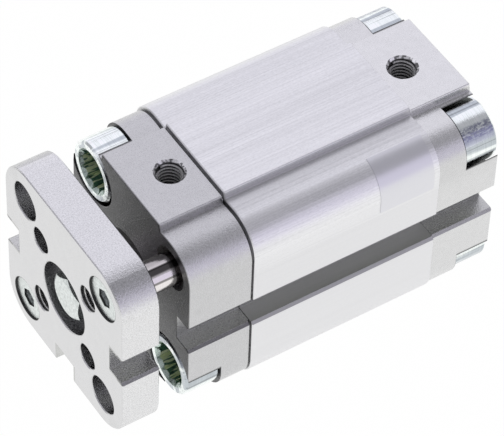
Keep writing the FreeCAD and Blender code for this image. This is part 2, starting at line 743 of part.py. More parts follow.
def make_piston():
    """Both halves with their seals, the magnet and wear ring between them, and the screw."""
    journal = d.journal / 2 + d.seat_gap
    clear = d.piston_screw / 2 + d.thread_gap
    head = d.piston_screw_head / 2 + d.thread_gap
    wear_outer = bore_radius - d.wear_gap
    made = [
        make_piston_half("piston_front", piston_front, -1, [(piston_middle, journal),
                                                            (piston_front, journal)]),
        make_piston_half("piston_rear", piston_rear, 1, [
            (piston_middle, journal), (rod_rear, journal), (rod_rear, clear),
            (piston_rear + head - clear, clear), (piston_rear, head)]),
        make_piston_seal("piston_seal_front", piston_front, -1),
        make_piston_seal("piston_seal_rear", piston_rear, 1),
        plain_ring("piston_magnet", piston_middle - d.magnet_width / 2, d.magnet_width,
                   magnet_inner, magnet_outer),
        plain_ring("piston_wear_ring", piston_middle - d.wear_ring_width / 2, d.wear_ring_width,
                   wear_outer - d.wear_ring_wall, wear_outer)]
    length = rod_rear - piston_rear + d.piston_screw_grip
    screw = make_sunk_screw("piston_screw", d.piston_screw_head, d.piston_screw, length,
                            d.piston_screw_across, d.piston_screw_socket)
    screw.Placement = FreeCAD.Placement(FreeCAD.Vector(0, 0, 0),
                                        FreeCAD.Rotation(FreeCAD.Vector(0, 0, 1), 180))
    bind(screw, ".Placement.Base.x", piston_rear)
    made.append(screw)
    return made


def cut_plate_hole(body, y, z, diameter, mouth):
    """A hole through the yoke plate with a bevel at both of its mouths."""
    inner, outer = diameter / 2, mouth / 2
    bevel = outer - inner
    bore_at(body, y, z, [(plate_front, outer), (plate_front - bevel, inner),
                         (plate_rear + bevel, inner), (plate_rear, outer)])


def make_yoke_plate():
    """The plate: notched outline, counterbore, rod seats and all of its holes."""
    body = new_body("yoke_plate")
    half, radius = plate_half, d.plate_corner
    sketch = cross_sketch(body, plate_rear)
    draw(sketch, mirrored([(half - radius, -half, radius), (half, radius - half),
                           (half, half - radius, radius), (half - radius, half)]))
    pad(body, sketch, d.plate_thickness)
    bevel_end(body, plate_front, d.edge_break)
    bevel_end(body, plate_rear, d.edge_break)
    cut_slots(body, half, d.plate_thickness, plate_rear)
    for y, z in FRONT_SCREWS:
        cut_plate_hole(body, y, z, d.access_bore, d.access_bore + 2 * d.hole_break)
    pin_half = screw_half - d.hole_step
    for y, z in [(-pin_half, pin_half), (pin_half, -pin_half)]:
        cut_plate_hole(body, y, z, d.pin_bore, d.pin_bore + 2 * d.hole_break)
    thread_half = guide_half - d.hole_step
    for y, z in [(thread_half, thread_half), (-thread_half, -thread_half)]:
        cut_plate_hole(body, y, z, d.plate_thread, d.plate_thread_mouth)
    sunk = d.sunk_head / 2 + d.sunk_gap
    hole = d.sunk_thread / 2 + d.sunk_clearance
    guide = guide_radius + d.seat_gap
    for y, z in GUIDES:
        bore_at(body, y, z, [(plate_front, sunk), (plate_front - d.sunk_inset, sunk),
                             (plate_front - d.sunk_inset - sunk + hole, hole), (rod_front, hole),
                             (rod_front, guide), (plate_rear, guide)])
    floor = plate_front - d.bolt_inset - d.bolt_head
    bolt_hole = d.bolt_thread / 2 + d.bolt_clearance
    bore_at(body, 0, 0, [(plate_front, d.counterbore / 2 + d.hole_break),
                         (plate_front - d.hole_break, d.counterbore / 2), (floor, d.counterbore / 2),
                         (floor, bolt_hole), (rod_front, bolt_hole),
                         (rod_front, rod_radius + d.seat_gap), (plate_rear, rod_radius + d.seat_gap)])
    return body


def make_yoke_bolt():
    """The hexagon bolt that holds the plate on the piston rod."""
    body = new_body("yoke_bolt")
    top = plate_front - d.bolt_inset
    seat = top - d.bolt_head
    end = rod_front - d.bolt_grip
    head = cross_sketch(body, seat)
    draw_hexagon(head, d.bolt_across)
    pad(body, head, d.bolt_head)
    side = d.bolt_across / 2
    corner = d.bolt_across / math.sqrt(3) + d.edge_break
    rounded = lengthwise_sketch(body)
    draw(rounded, [(top, side - d.bolt_bevel), (top, corner),
                   (top - (corner - side + d.bolt_bevel) / math.sqrt(3), corner)])
    bore(body, rounded)
    shank = lengthwise_sketch(body)
    draw(shank, [(seat, 0), (seat, d.bolt_thread / 2), (end, d.bolt_thread / 2), (end, 0)])
    turn(body, shank)
    return body


def make_guide_rod_screws():
    length = d.plate_thickness - d.sunk_inset - d.rod_seat + d.sunk_grip
    screw = make_sunk_screw("guide_rod_screw", d.sunk_head, d.sunk_thread, length,
                            d.sunk_across, d.sunk_socket)
    face = plate_front - d.sunk_inset
    return group("guide_rod_screws", screw, [(face, y, z) for y, z in GUIDES])


def make_type_label():
    """A thin bare film round the upper corner and down the side of the barrel."""
    body = new_body("type_label")
    sketch = cross_sketch(body, barrel_rear + d.label_start)
    half = cap_half + d.barrel_proud + d.label_lift
    radius = d.corner_radius + d.barrel_proud + d.label_lift
    outside = half + d.label_thickness
    turned = radius + d.label_thickness
    middle = (half - radius, barrel_top - d.lobe_drop - d.corner_radius - d.barrel_proud)
    lower = middle[1] - d.label_drop
    up, out = math.sin(LABEL_TURN), math.cos(LABEL_TURN)
    draw(sketch, [
        (half, lower), (outside, lower), (outside, middle[1], turned),
        (middle[0] + turned * out, middle[1] + turned * up),
        (middle[0] + radius * out, middle[1] + radius * up, -radius), (half, middle[1])])
    pad(body, sketch, d.label_length)
    return body


def make_all():
    made = [make_barrel(), make_bearing_cap(), make_end_cap()]
    made += make_collar_screws()
    made += make_cap_fittings()
    for name, (y, z) in zip(("upper", "lower"), GUIDES):
        made.append(make_guide_bush(f"guide_bush_{name}", y, z))
        made.append(make_guide_rod(f"guide_rod_{name}", y, z))
    made.append(make_piston_rod())
    made += make_piston()
    made += [make_yoke_plate(), make_yoke_bolt(), make_guide_rod_screws(), make_type_label()]
    return made


def check(made):
    """Stop if any object failed or any sub-part has no valid solid."""
    for item in doc.Objects:
        if {"Invalid", "Error"} & set(item.State):
            raise ValueError(f"{item.Name} is {item.State}")
    for item in made:
        shape = item.Shape
        if shape.isNull() or not shape.isValid() or not shape.Solids:
            raise ValueError(f"{item.Label} has no valid solid")


sub_parts = make_all()
doc.recompute()
check(sub_parts)
os.makedirs("parts", exist_ok=True)
for sub_part in sub_parts:
    sub_part.Shape.exportStep(f"parts/{sub_part.Label}.step")
    print(f"{sub_part.Label}: {len(sub_part.Shape.Solids)} solids, {sub_part.Shape.Volume:.1f} mm3")
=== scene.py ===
"""Finish a compact cylinder with guide rods: metals, threads, film and a plain studio.

Meshes, lamps and the camera are in metres in the part's own frame. +X runs along the
axis to the yoke plate, +Z points to the side with the ports and +Y to the side with the
label. The sizes below and the lengths inside the materials are in millimetres.
"""
import math

import bmesh
import bpy
from bpy.props import FloatProperty, FloatVectorProperty, IntProperty, PointerProperty
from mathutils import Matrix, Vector


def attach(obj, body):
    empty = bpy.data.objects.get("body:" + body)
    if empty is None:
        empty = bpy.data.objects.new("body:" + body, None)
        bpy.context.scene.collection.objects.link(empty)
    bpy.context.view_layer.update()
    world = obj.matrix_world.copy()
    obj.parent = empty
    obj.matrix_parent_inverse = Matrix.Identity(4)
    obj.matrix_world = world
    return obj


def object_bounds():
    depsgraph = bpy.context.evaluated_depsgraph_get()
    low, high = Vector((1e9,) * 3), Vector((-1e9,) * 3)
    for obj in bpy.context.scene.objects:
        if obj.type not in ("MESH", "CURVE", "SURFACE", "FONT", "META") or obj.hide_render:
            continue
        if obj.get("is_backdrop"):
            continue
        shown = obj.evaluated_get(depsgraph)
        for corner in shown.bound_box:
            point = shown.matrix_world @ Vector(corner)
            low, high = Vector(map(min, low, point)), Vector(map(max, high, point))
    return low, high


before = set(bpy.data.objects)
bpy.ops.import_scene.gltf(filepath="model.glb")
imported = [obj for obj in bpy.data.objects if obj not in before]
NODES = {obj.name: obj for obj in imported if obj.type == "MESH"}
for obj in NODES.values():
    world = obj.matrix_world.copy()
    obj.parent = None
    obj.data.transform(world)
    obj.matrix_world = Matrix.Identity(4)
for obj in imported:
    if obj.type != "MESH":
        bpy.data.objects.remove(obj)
CAD_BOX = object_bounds()

bl_info = {
    "name": "Compact Cylinder Finish",
    "version": (1, 0, 0),
    "blender": (4, 5, 0),
    "location": "View3D > Sidebar > Cylinder",
    "description": "Metals, threads, label film and studio for a compact guided cylinder",
    "category": "Object",
}

MM = 0.001

# Places along the cylinder, from its rear face
REAR_SCREW_FOOT = 5.25
REAR_POCKET_FLOOR = 7.05
REAR_PORT = 8
END_CAP_FRONT = 13
MIDDLE = 32.25
BARREL_FRONT = 51.5
FRONT_SCREW_FOOT = 51.85
FRONT_PORT = 56.5
FRONT_POCKET_FLOOR = 57.55
BODY_FRONT = 64.5
YOKE_THREAD_FOOT = 70.75
PLATE_FRONT = 78

# Places out from the axis
JOINT_TOP = 3.5
PIN_HOLES = 7.8
YOKE_THREADS = 8.1
VALLEY_START, VALLEY_END = 9.6, 10.2
COLLAR_SCREWS = 13
GUIDE_RODS = 13.3
PORT_FLOOR = 13
PORT_THREAD_FOOT = 14.3
SLOT_FLOOR = 15.4
LIP_START = 18
VALLEY_HEIGHT = 19
PORT_MOUTH = 20.2

# Radii and half widths
HEXAGON = 1.96
BRIGHT_CREST, DARK_FLANK = 2.20, 2.34
TAPPED_HOLE = 2.5
PIN_HOLE = 2.5
PORT_BEVEL_START, PORT_BEVEL = 2.45, 2.92
SLOT_INSIDE, SLOT_MOUTH = 2.97, 3.44
GUIDE_ROD = 3
SCREW_HOLE = 3.75
COUNTERSINK = 4.3
SPLINED_SOCKET = 4.5
COLLAR_HEAD = 6
SCREW_POCKET = 6.66
COUNTERBORE = 7

# How far past a radius its area ends, and how softly
EDGE, FADE = 0.02, 0.10

# Depths of the threads, distance of the lamps and half the floor's side, all in metres
PORT_THREAD, YOKE_THREAD, SCREW_THREAD = 6.0 * MM, 7.0 * MM, 7.4 * MM
LAMP_DISTANCE = 1.1
FLOOR_HALF = 3


def colour(name, description, default):
    """A colour property in linear values."""
    return FloatVectorProperty(name=name, description=description, default=default,
                               subtype="COLOR", size=3, min=0, max=1)


def share(name, description, default):
    """A property between 0 and 1."""
    return FloatProperty(name=name, description=description, default=default,
                         subtype="FACTOR", min=0, max=1)


def length(name, description, default):
    """A length property."""
    return FloatProperty(name=name, description=description, default=default,
                         subtype="DISTANCE", unit="LENGTH", min=0, precision=5)


def brightness(name, description, default):
    """The brightness of a lamp."""
    return FloatProperty(name=name, description=description, default=default, min=0, max=4)


class CylinderThreads(bpy.types.PropertyGroup):
    """Sizes of the tapped holes' threads."""
    pitch: length("Pitch", "Distance from one turn of a thread to the next", 0.8 * MM)
    wall: length("Wall Radius", "Radius of the tapped holes' walls", TAPPED_HOLE * MM)
    core: length("Core Radius", "Radius at the crests of the threads", 2.1 * MM)
    root: length("Root Depth", "How far a thread is rooted in its wall", 0.05 * MM)
    flank: share("Flank", "Share of the pitch that one flank of a thread takes", 0.42)
    steps: IntProperty(name="Steps", description="Steps in one turn of a thread",
                       default=32, min=8, max=96)


class CylinderColours(bpy.types.PropertyGroup):
    """Colours and polish of the visible surfaces."""
    profile: colour("Profile", "Anodised barrel", (0.80, 0.80, 0.81))
    profile_rough: share("Profile Roughness", "Roughness of the barrel", 0.34)
    cap: colour("Bearing Cap", "Blasted front cap", (0.61, 0.61, 0.615))
    end_cap: colour("End Cap", "Blasted rear cap, a little lighter", (0.765, 0.765, 0.765))
    cap_rough: share("Cap Roughness", "Roughness of the caps", 0.32)
    plate: colour("Yoke Plate", "Blasted yoke plate", (0.75, 0.75, 0.755))
    plate_rough: share("Plate Roughness", "Roughness of the yoke plate", 0.24)
    # Crest colour is a painted highlight on the thread crests
    crest: colour("Thread Crests", "Bright crests of the threads", (0.95, 0.95, 0.93))
    zinc: colour("Zinc", "Plated screws", (0.93, 0.98, 0.96))
    zinc_rough: share("Zinc Roughness", "Roughness of the collar screws", 0.10)
    bolt_rough: share("Bolt Roughness", "Roughness of the yoke bolt and the sunk screws", 0.3)
    tarnish: colour("Zinc Tarnish", "Grey bands on the collar screws", (0.42, 0.46, 0.50))
    stain: colour("Zinc Stain", "Dark specks on the rear collar screws", (0.22, 0.23, 0.34))
    socket: colour("Sockets", "Green passivation inside the sockets", (0.15, 0.31, 0.24))
    # Colour of the painted highlights that stripe the sockets' flutes
    socket_highlight: colour("Socket Stripes", "Lighter stripes in the sockets", (0.92, 1.0, 0.66))
    socket_lead: colour("Socket Leads", "Cones at the mouths of the sockets", (0.72, 0.86, 0.78))
    rod: colour("Rods", "Ground rods", (0.88, 0.84, 0.83))
    rod_rough: share("Rod Roughness", "Roughness of the ground rods", 0.10)
    # Near black: partly the bushes' dark bronze, partly painted shade in the rod holes
    bronze: colour("Bushes", "Dark oiled bushes", (0.06, 0.05, 0.045))
    rubber: colour("Rubber", "Seals and bumpers", (0.02, 0.02, 0.022))
    ring: colour("Wear Ring", "Moulded wear ring of the piston", (0.55, 0.50, 0.38))
    magnet: colour("Magnet", "Bound magnet of the piston", (0.05, 0.05, 0.055))
    film: colour("Label Film", "Bare film of the label", (0.78, 0.78, 0.81))
    film_rough: share("Film Roughness", "Roughness of the label film", 0.27)
    # A darker neutral grey that paints the shade inside the sensor slots
    slot: colour("Slots", "Walls of the sensor slots", (0.594, 0.598, 0.586))


class CylinderStudio(bpy.types.PropertyGroup):
    """Camera, floor and lamps."""
    eye: FloatVectorProperty(name="Camera Place", description="Where the camera stands",
                             default=(0.26073, 0.32521, 0.44107), subtype="TRANSLATION",
                             unit="LENGTH", size=3, precision=5)
    turn: FloatVectorProperty(name="Camera Rotation", description="How the camera is turned",
                              default=(0.72649, -0.02684, 2.57336), subtype="EULER",
                              unit="ROTATION", size=3, precision=5)
    lens: FloatProperty(name="Focal Length", description="Focal length of the camera in mm",
                        default=236.3, min=10, max=400, unit="CAMERA")
    floor: colour("Floor", "Plain floor", (0.90, 0.90, 0.90))
    floor_glow: share("Floor Evenness", "How evenly white the floor looks", 0.995)
    room: share("Room Light", "Even light of the room", 0.43)
    room_tint: colour("Room Tint", "Colour of the room and of three lamps", (0.93, 0.92, 1.0))
    panel: brightness("Panel Light", "Brightness of the large lamp", 0.57)
    fill: brightness("Side Light", "Brightness of the lamp beside the plate", 0.5)
    low: brightness("Low Light", "Brightness of the low lamp on the right", 0.49)
    low_tint: colour("Low Tint", "Colour of the low lamp", (0.84, 0.79, 1.0))
    far: brightness("Far Light", "Brightness of the lamp behind the far side", 0.55)


class Wire:
    """A shader value on which arithmetic adds Math nodes."""

    def __init__(self, finish, socket):
        self.finish = finish
        self.socket = socket

    def __add__(self, other):
        return self.finish.work_out("ADD", self, other)

    def __sub__(self, other):
        return self.finish.work_out("SUBTRACT", self, other)

    def __rsub__(self, other):
        return self.finish.work_out("SUBTRACT", other, self)

    def __mul__(self, other):
        return self.finish.work_out("MULTIPLY", self, other)

    def __truediv__(self, other):
        return self.finish.work_out("DIVIDE", self, other)

    def __pow__(self, other):
        return self.finish.work_out("POWER", self, other)

    def __lt__(self, other):
        return self.finish.work_out("LESS_THAN", self, other)

    def __gt__(self, other):
        return self.finish.work_out("GREATER_THAN", self, other)

    def __abs__(self):
        return self.finish.work_out("ABSOLUTE", self)

    __radd__ = __add__
    __rmul__ = __mul__

    def limited(self):
        """The value held between 0 and 1."""
        return self.finish.work_out("MAXIMUM", self.finish.work_out("MINIMUM", self, 1), 0)

    def band(self, low, high):
        """0 below low, 1 above high, and straight between them."""
        return ((self - low) / (high - low)).limited()


class Finish:
    """A material in the making. Its lengths are in millimetres."""

    def __init__(self, name):
        self.material = bpy.data.materials.new(name)
        self.material.use_nodes = True
        self.tree = self.material.node_tree
        self.tree.nodes.clear()
        self.place = Wire(self, self.node("ShaderNodeTexCoord").outputs["Object"])

    def node(self, kind, settings=None, sockets=None):
        """Add any node, set it up, and give its sockets their values or links."""
        made = self.tree.nodes.new(kind)
        for name, value in (settings or {}).items():
            setattr(made, name, value)
        for key, value in (sockets or {}).items():
            if isinstance(value, Wire):
                self.tree.links.new(value.socket, made.inputs[key])
            else:
                made.inputs[key].default_value = value
        return made

    def work_out(self, operation, *values):
        """Arithmetic on single values."""
        made = self.node("ShaderNodeMath", {"operation": operation}, dict(enumerate(values)))
        return Wire(self, made.outputs[0])

    def axes(self):
        """The X, Y and Z of a surface point."""
        split = self.node("ShaderNodeSeparateXYZ", None, {0: self.scaled(self.place, 1 / MM)})
        return [Wire(self, output) for output in split.outputs]

    def noise(self, size, detail=2.0, roughness=0.5):
        """Noise from 0 to 1 whose grain has this size along X, Y and Z, or along all three."""
        sides = size if isinstance(size, tuple) else (size, size, size)
        stretched = self.node("ShaderNodeMapping", None, {
            "Vector": self.place, "Scale": [1 / (side * MM) for side in sides]})
        made = self.node("ShaderNodeTexNoise", None, {
            "Vector": Wire(self, stretched.outputs[0]), "Scale": 1.0, "Detail": detail,
            "Roughness": roughness})
        return Wire(self, made.outputs[0])

    def blasting(self):
        """The fine grain of a blasted surface."""
        return self.noise(0.3, 3, 0.65).band(0.3, 0.7)

    def mix(self, factor, first, second):
        """Colours blended by a factor."""
        colours = {6: first, 7: second}
        for key, value in colours.items():
            if not isinstance(value, Wire):
                colours[key] = (*value, 1)
        made = self.node("ShaderNodeMix", {"data_type": "RGBA"}, {0: factor, **colours})
        return Wire(self, made.outputs[2])

    def scaled(self, vector, amount):
        """A place made larger, or a colour made lighter or darker, by a factor."""
        made = self.node("ShaderNodeVectorMath", {"operation": "SCALE"}, {
            0: vector if isinstance(vector, Wire) else tuple(vector), "Scale": amount})
        return Wire(self, made.outputs[0])

    def bump(self, height, distance, round_edges=0):
        """A bumpy normal, with sharp edges rounded to a radius if one is given."""
        sockets = {"Height": height, "Distance": distance * MM, "Strength": 1.0}
        if round_edges:
            edges = self.node("ShaderNodeBevel", {"samples": 4}, {"Radius": round_edges * MM})
            sockets["Normal"] = Wire(self, edges.outputs[0])
        return Wire(self, self.node("ShaderNodeBump", None, sockets).outputs[0])

    def surface(self, base, rough, normal, metal=1.0):
        """End the material in a Principled surface."""
        shader = self.node("ShaderNodeBsdfPrincipled", None, {
            "Base Color": base, "Roughness": rough, "Metallic": metal, "Normal": normal})
        self.node("ShaderNodeOutputMaterial", None, {"Surface": Wire(self, shader.outputs[0])})
        return self.material


def dress(material, *names):
    """Give CAD nodes a material in all of their slots."""
    for name in names:
        node = NODES[name]
        if not node.material_slots:
            node.data.materials.append(material)
        for slot in node.material_slots:
            slot.material = material


def finished(bm, name, material, body):
    """Turn a bmesh into a piece that rides on a body."""
    mesh = bpy.data.meshes.new(name)
    bmesh.ops.recalc_face_normals(bm, faces=bm.faces)
    bm.to_mesh(mesh)
    bm.free()
    mesh.shade_smooth()
    mesh.materials.append(material)
    piece = bpy.data.objects.new(name, mesh)
    bpy.context.scene.collection.objects.link(piece)
    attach(piece, body)


def add_thread(bm, threads, foot, direction, depth):
    """Spin a right-hand thread ridge up a tapped hole from the foot of its wall."""
    axis = direction.normalized()
    aside = axis.orthogonal().normalized()
    flank = threads.pitch * threads.flank
    rooted = threads.wall + threads.root
    corners = [(rooted, 0), (threads.core, flank), (rooted, 2 * flank)]
    points = [bm.verts.new(foot + aside * out + axis * up) for out, up in corners]
    start = bm.faces.new(points)
    rise = depth - 2 * flank
    turns = rise / threads.pitch
    steps = round(turns * threads.steps)
    bmesh.ops.spin(bm, geom=[start, *start.edges, *start.verts], cent=foot, axis=axis,
                   dvec=axis * rise / steps, angle=turns * math.tau, steps=steps,
                   use_merge=False, use_duplicate=False)


def between(value, low, high):
    """1 between two values and 0 outside them."""
    return (value > low) * (value < high)


def from_axis(y, z, out):
    """Distance from the nearest of four axes that stand this far out along Y and Z."""
    return ((abs(y) - out) ** 2 + (abs(z) - out) ** 2) ** 0.5


def within(distance, radius):
    """1 up to a radius and 0 a little beyond it."""
    return 1 - distance.band(radius + EDGE, radius + EDGE + FADE)


def on_crest(distance):
    """1 on the crests of a thread, by the distance from its axis."""
    return 1 - distance.band(BRIGHT_CREST, DARK_FLANK)


def toward(y, z, out, radius, degrees):
    """Up to 1 where the surface round the nearest of four axes faces this way."""
    way = math.radians(degrees)
    lean = (abs(y) - out) * math.cos(way) + (abs(z) - out) * math.sin(way)
    return lean / radius


def in_slot(y, z):
    """1 inside the three sensor slots."""
    beside = (abs(z) < SLOT_MOUTH) * (abs(y) > SLOT_FLOOR)
    below = (abs(y) < SLOT_MOUTH) * (z < -SLOT_FLOOR)
    return (beside + below).limited()


def on_lip(y, z):
    """1 on the bevels at the mouths of the two slots beside the axis."""
    return between(abs(z), SLOT_INSIDE, SLOT_MOUTH) * (abs(y) > LIP_START)


def in_valley(y, z):
    """1 at the feet of the two risers beside the raised flat."""
    return between(abs(y), VALLEY_START, VALLEY_END) * (z > VALLEY_HEIGHT)


def darkened(*areas):
    """A brightness that each area lowers by its share."""
    left = 1
    for area, loss in areas:
        left = left * (1 - area * loss)
    return left


def collar_zinc(colours):
    """Bright plated steel; the inside of the splined sockets is green, with painted highlights in
    stripes.
    """
    finish = Finish("bright_zinc")
    x, y, z = finish.axes()
    inside = within(from_axis(y, z, COLLAR_SCREWS), SPLINED_SOCKET)
    depth = MIDDLE - abs(x - MIDDLE)
    # Painted highlights: lighter stripes along the sockets stand in for the lamps reflected in the
    # flutes
    stripes = finish.noise((4, 0.75, 0.75), 1).band(0.51, 0.57)
    green = finish.mix(stripes, colours.socket, colours.socket_highlight)
    hollow = finish.mix(depth.band(0.6, 0.75), colours.socket_lead, green)
    cloud = finish.noise((2, 1, 1), 3)
    rings = finish.noise((0.3, 5, 5), 2)
    lines = finish.noise((40, 0.4, 0.4), 1).band(0.60, 0.66)
    bands = finish.noise((40, 2.2, 2.2), 1).band(0.50, 0.58)
    specks = finish.noise((0.8, 0.35, 0.35), 3, 0.7).band(0.36, 0.56)
    strip = toward(y, z, COLLAR_SCREWS, COLLAR_HEAD, 47).band(0.966, 0.985)
    strip = strip * (x < REAR_POCKET_FLOOR)
    tinted = finish.mix(bands * 0.8, colours.zinc, colours.tarnish)
    turned = (cloud * 0.16 + rings * 0.44 + 0.70) * darkened((lines, 0.35))
    stained = finish.mix(strip * specks * 0.85, finish.scaled(tinted, turned), colours.stain)
    scratches = finish.noise((0.6, 0.1, 0.1), 2)
    return finish.surface(finish.mix(inside, stained, hollow), cloud * 0.08 + colours.zinc_rough,
                          finish.bump(scratches, 0.01, 0.06), 1 - inside * (stripes * 0.5 + 0.4))


def blasted_cap(name, base, colours):
    """Blasted aluminium with painted shade in the ports, the seam, the pockets and the slots and on the
    front face, and a painted highlight on the port bevels.
    """
    finish = Finish(name)
    x, y, z = finish.axes()
    at_rear = x < MIDDLE
    grain = finish.blasting() * (1 - at_rear * 0.4)
    cloud = finish.noise(1.5, 3)
    port = ((abs(x - MIDDLE) - (FRONT_PORT - MIDDLE)) ** 2 + y ** 2) ** 0.5
    # Painted shade: the walls of the ports are darkened, as the holes keep out the light
    wall = within(port, TAPPED_HOLE) * (z > PORT_FLOOR)
    # Painted highlight: the bevels at the port mouths are lightened by half, and painted glints darken
    # them in strokes
    bevel = within(port, PORT_BEVEL) * (1 - within(port, PORT_BEVEL_START)) * (z > PORT_MOUTH)
    glints = finish.noise((0.5, 0.5, 9), 1).band(0.42, 0.58)
    # Painted shade: the groove where the bearing cap meets the barrel is painted nearly black
    seam = between(x, BARREL_FRONT - 0.01, BARREL_FRONT + 0.13)
    # Painted shade: a thin dark line in the joint of the end cap, on the lower side only
    joint = between(x, END_CAP_FRONT - 0.12, END_CAP_FRONT + 0.05) * (z < JOINT_TOP)
    # Painted shade: the front face under the yoke plate is darkened, most of all near the guide rods
    front = x.band(BODY_FRONT - 0.2, BODY_FRONT - 0.02)
    near_rods = 1 - from_axis(y, z, GUIDE_RODS).band(3, 11)
    # Painted shade in the pockets of the collar screws
    sunk = (x < REAR_POCKET_FLOOR) + (x > FRONT_POCKET_FLOOR) * ((y * z) < 0)
    pockets = sunk * within(from_axis(y, z, COLLAR_SCREWS), SCREW_POCKET)
    # Painted shade on the bevels at the slot mouths, stronger towards the front
    lips = on_lip(y, z) * (x.band(12, 52) * 0.45 + 0.20)
    # Painted shade also at the feet of the risers
    shaded = darkened((wall, 0.75), (seam, 0.96), (front, 0.79), (bevel * glints, 0.8), (pockets, 0.85),
                      (in_valley(y, z), 0.16), (front * near_rods, 0.5), (lips, 1), (joint, 0.4))
    # Painted sheen: the upper corners of the bearing cap are lightened by a tenth
    corner = (1 - at_rear) * y.band(15, 17) * (1 - y.band(18.6, 19.8)) * z.band(14, 17)
    # Painted light and shade on the end cap: lighter towards the top, darker at mid height, a little
    # darker overall
    upper = at_rear * (z.band(17.5, 20) * 0.165 - z.band(8, 12) * 0.07 - 0.03)
    shaded = shaded * (bevel * 0.5 + 1) * (corner * 0.1 + 1) * (upper + 1)
    # Painted shade: the sensor slots take the darker slot colour
    coloured = finish.mix(in_slot(y, z), base, colours.slot)
    blasted = finish.scaled(coloured, (grain * 0.20 + cloud * 0.12 + 0.83) * shaded)
    # Painted highlight: the thread crests in the ports are lightened and less metallic
    crests = wall * on_crest(port)
    return finish.surface(finish.mix(crests, blasted, colours.crest),
                          grain * 0.14 + colours.cap_rough - 0.08,
                          finish.bump(grain, 0.024, 0.08), 1 - crests * 0.6)


def grained(name, base, size, detail, lighter, darkest, rougher, smoothest, height, metal):
    """A plain material whose grain makes the colour lighter and the surface rougher."""
    finish = Finish(name)
    grain = finish.noise(size, detail)
    rough = grain * rougher + smoothest if rougher else smoothest
    return finish.surface(finish.scaled(base, grain * lighter + darkest), rough,
                          finish.bump(grain, height), metal)


class CYLINDER_OT_barrel(bpy.types.Operator):
    """Finish the barrel as satin anodised profile with fine drawing marks"""
    bl_idname = "cylinder.barrel"
    bl_label = "Barrel"

    def execute(self, context):
        colours = context.scene.cylinder_colours
        finish = Finish("anodised_profile")
        x, y, z = finish.axes()
        streaks = finish.noise((60, 0.22, 0.22), 4, 0.7)
        bands = finish.noise((90, 1.6, 1.6), 2)
        grain = finish.noise((0.5, 0.2, 0.2), 2)
        drawn = z.band(8, 17) * 0.8 + 0.2
        marks = (streaks * 0.54 + bands * 0.15 + grain * 0.32 - 0.505) * drawn + 1.0
        # Painted shade on the upper lobe beside the raised flat, on the +Y side only, and a little
        # painted light beyond it
        corner = y.band(9.7, 10.3) * z.band(10, 14)
        inner = 1 - y.band(13.2, 14.6)
        marks = marks * (corner * (0.06 - inner * 0.24) + 0.99)
        # Painted shade on the barrel's front end face, at the feet of the risers and on the slot lips
        end = x.band(BARREL_FRONT - 0.08, BARREL_FRONT - 0.02)
        shaded = darkened((end, 0.30), (in_valley(y, z), 0.16), (on_lip(y, z), 0.22))
        # Painted shade: the sensor slots take the darker slot colour
        coloured = finish.mix(in_slot(y, z), colours.profile, colours.slot)
        dress(finish.surface(finish.scaled(coloured, marks * shaded),
                             streaks * 0.16 + colours.profile_rough - 0.08,
                             finish.bump(streaks + grain * 0.3, 0.03, 0.08)), "barrel")
        return {"FINISHED"}


class CYLINDER_OT_caps(bpy.types.Operator):
    """Finish both caps as finely blasted aluminium"""
    bl_idname = "cylinder.caps"
    bl_label = "Caps"

    def execute(self, context):
        colours = context.scene.cylinder_colours
        dress(blasted_cap("blasted_cap", colours.cap, colours), "bearing_cap")
        dress(blasted_cap("blasted_end_cap", colours.end_cap, colours), "end_cap")
        return {"FINISHED"}


class CYLINDER_OT_yoke_plate(bpy.types.Operator):
    """Finish the yoke plate as blasted aluminium with painted shade on its drilled walls"""
    bl_idname = "cylinder.yoke_plate"
    bl_label = "Yoke Plate"

    def execute(self, context):
        colours = context.scene.cylinder_colours
        finish = Finish("blasted_plate")
        x, y, z = finish.axes()
        grain = finish.blasting()
        cloud = finish.noise(2, 3)
        sides = 1 - x.band(PLATE_FRONT - 0.15, PLATE_FRONT - 0.05) * 0.8
        crossed = (y * z) < 0
        straight = 1 - crossed
        middle = (y ** 2 + z ** 2) ** 0.5
        thread = from_axis(y, z, YOKE_THREADS)
        screw_holes = within(from_axis(y, z, COLLAR_SCREWS), SCREW_HOLE)
        pin_holes = within(from_axis(y, z, PIN_HOLES), PIN_HOLE)
        plain = crossed * (screw_holes + pin_holes)
        sunk = within(from_axis(y, z, GUIDE_RODS), COUNTERSINK)
        # Painted shade on the rounded corners of the plate
        corners = (abs(y) > 15.3) * abs(z).band(14.5, 17.5) * sides
        # Painted shade: the counterbore, the plain holes, the slot lips, the tapped holes and the
        # countersinks are darkened
        shaded = darkened((within(middle, COUNTERBORE), 0.36), (plain, 0.24), (on_lip(y, z), 0.5),
                          (straight * (within(thread, TAPPED_HOLE) * 0.70 + sunk * 0.9), 1),
                          (corners, 0.24))
        speckle = grain * sides * (0.36 - plain * 0.22)
        # Painted shade: the sensor slots take the darker slot colour
        coloured = finish.mix(in_slot(y, z), colours.plate, colours.slot)
        blasted = finish.scaled(coloured, (speckle + cloud * 0.08 + 0.84 - sides * 0.05) * shaded)
        # Painted highlight on the crests of the yoke plate's threads
        crests = straight * on_crest(thread)
        dress(finish.surface(finish.mix(crests, blasted, colours.crest),
                             grain * sides * 0.12 + colours.plate_rough - 0.06,
                             finish.bump(grain * sides, 0.03, 0.08)), "yoke_plate")
        return {"FINISHED"}


